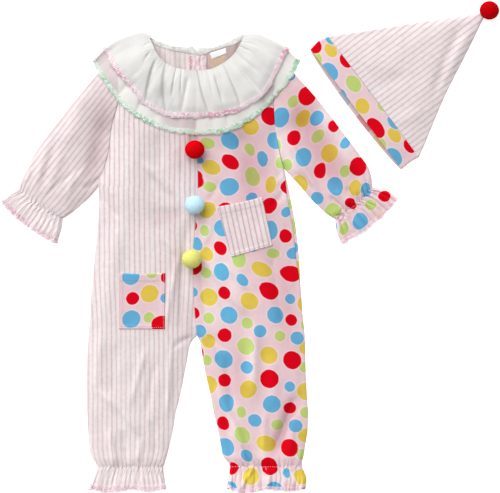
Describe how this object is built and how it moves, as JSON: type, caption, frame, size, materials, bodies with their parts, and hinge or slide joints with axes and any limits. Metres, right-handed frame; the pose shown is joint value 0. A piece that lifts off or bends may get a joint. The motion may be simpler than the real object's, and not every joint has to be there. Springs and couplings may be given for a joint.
{
  "type": "clown costume",
  "caption": "Baby's clown romper, half striped and half polka-dot, with a two-tier ruffled collar, pompoms and patch pockets, laid flat beside its pointed hat.",
  "frame": {"origin": "on the table under the middle of the set's bounding box", "axes": "+Y from the romper's leg hems towards its neck, +X towards the hat and the dotted sleeve, +Z off the table through the front of the garment"},
  "size_m": [0.6961, 0.6847, 0.0323],
  "materials": {
    "striped_cloth": "soft printed jersey, white with fine pink stripes",
    "dotted_cloth": "soft printed jersey, pale pink with coloured polka dots",
    "collar_cloth": "thin matt white voile",
    "pink_trim": "pink picot edging",
    "green_trim": "mint green picot edging",
    "placket_cloth": "pink striped jersey, folded",
    "label_tape": "smooth white tape, bare",
    "red_yarn": "fluffy red yarn",
    "blue_yarn": "fluffy light blue yarn",
    "yellow_yarn": "fluffy lemon yellow yarn"
  },
  "bodies": {
    "root": {"body_front_striped": "striped_cloth", "body_back_striped": "striped_cloth", "sleeve_striped": "striped_cloth", "pocket_striped": "striped_cloth", "hat_cone": "striped_cloth", "body_front_dotted": "dotted_cloth", "body_back_dotted": "dotted_cloth", "sleeve_dotted": "dotted_cloth", "pocket_dotted": "dotted_cloth", "hat_band": "dotted_cloth", "collar_upper": "collar_cloth", "collar_lower": "collar_cloth", "neck_binding": "collar_cloth", "trim_pink": "pink_trim", "trim_green": "green_trim", "back_placket": "placket_cloth", "neck_label": "label_tape", "pompom_red": "red_yarn", "pompom_blue": "blue_yarn", "pompom_yellow": "yellow_yarn", "hat_pompom": "red_yarn"}
  },
  "joints": []
}
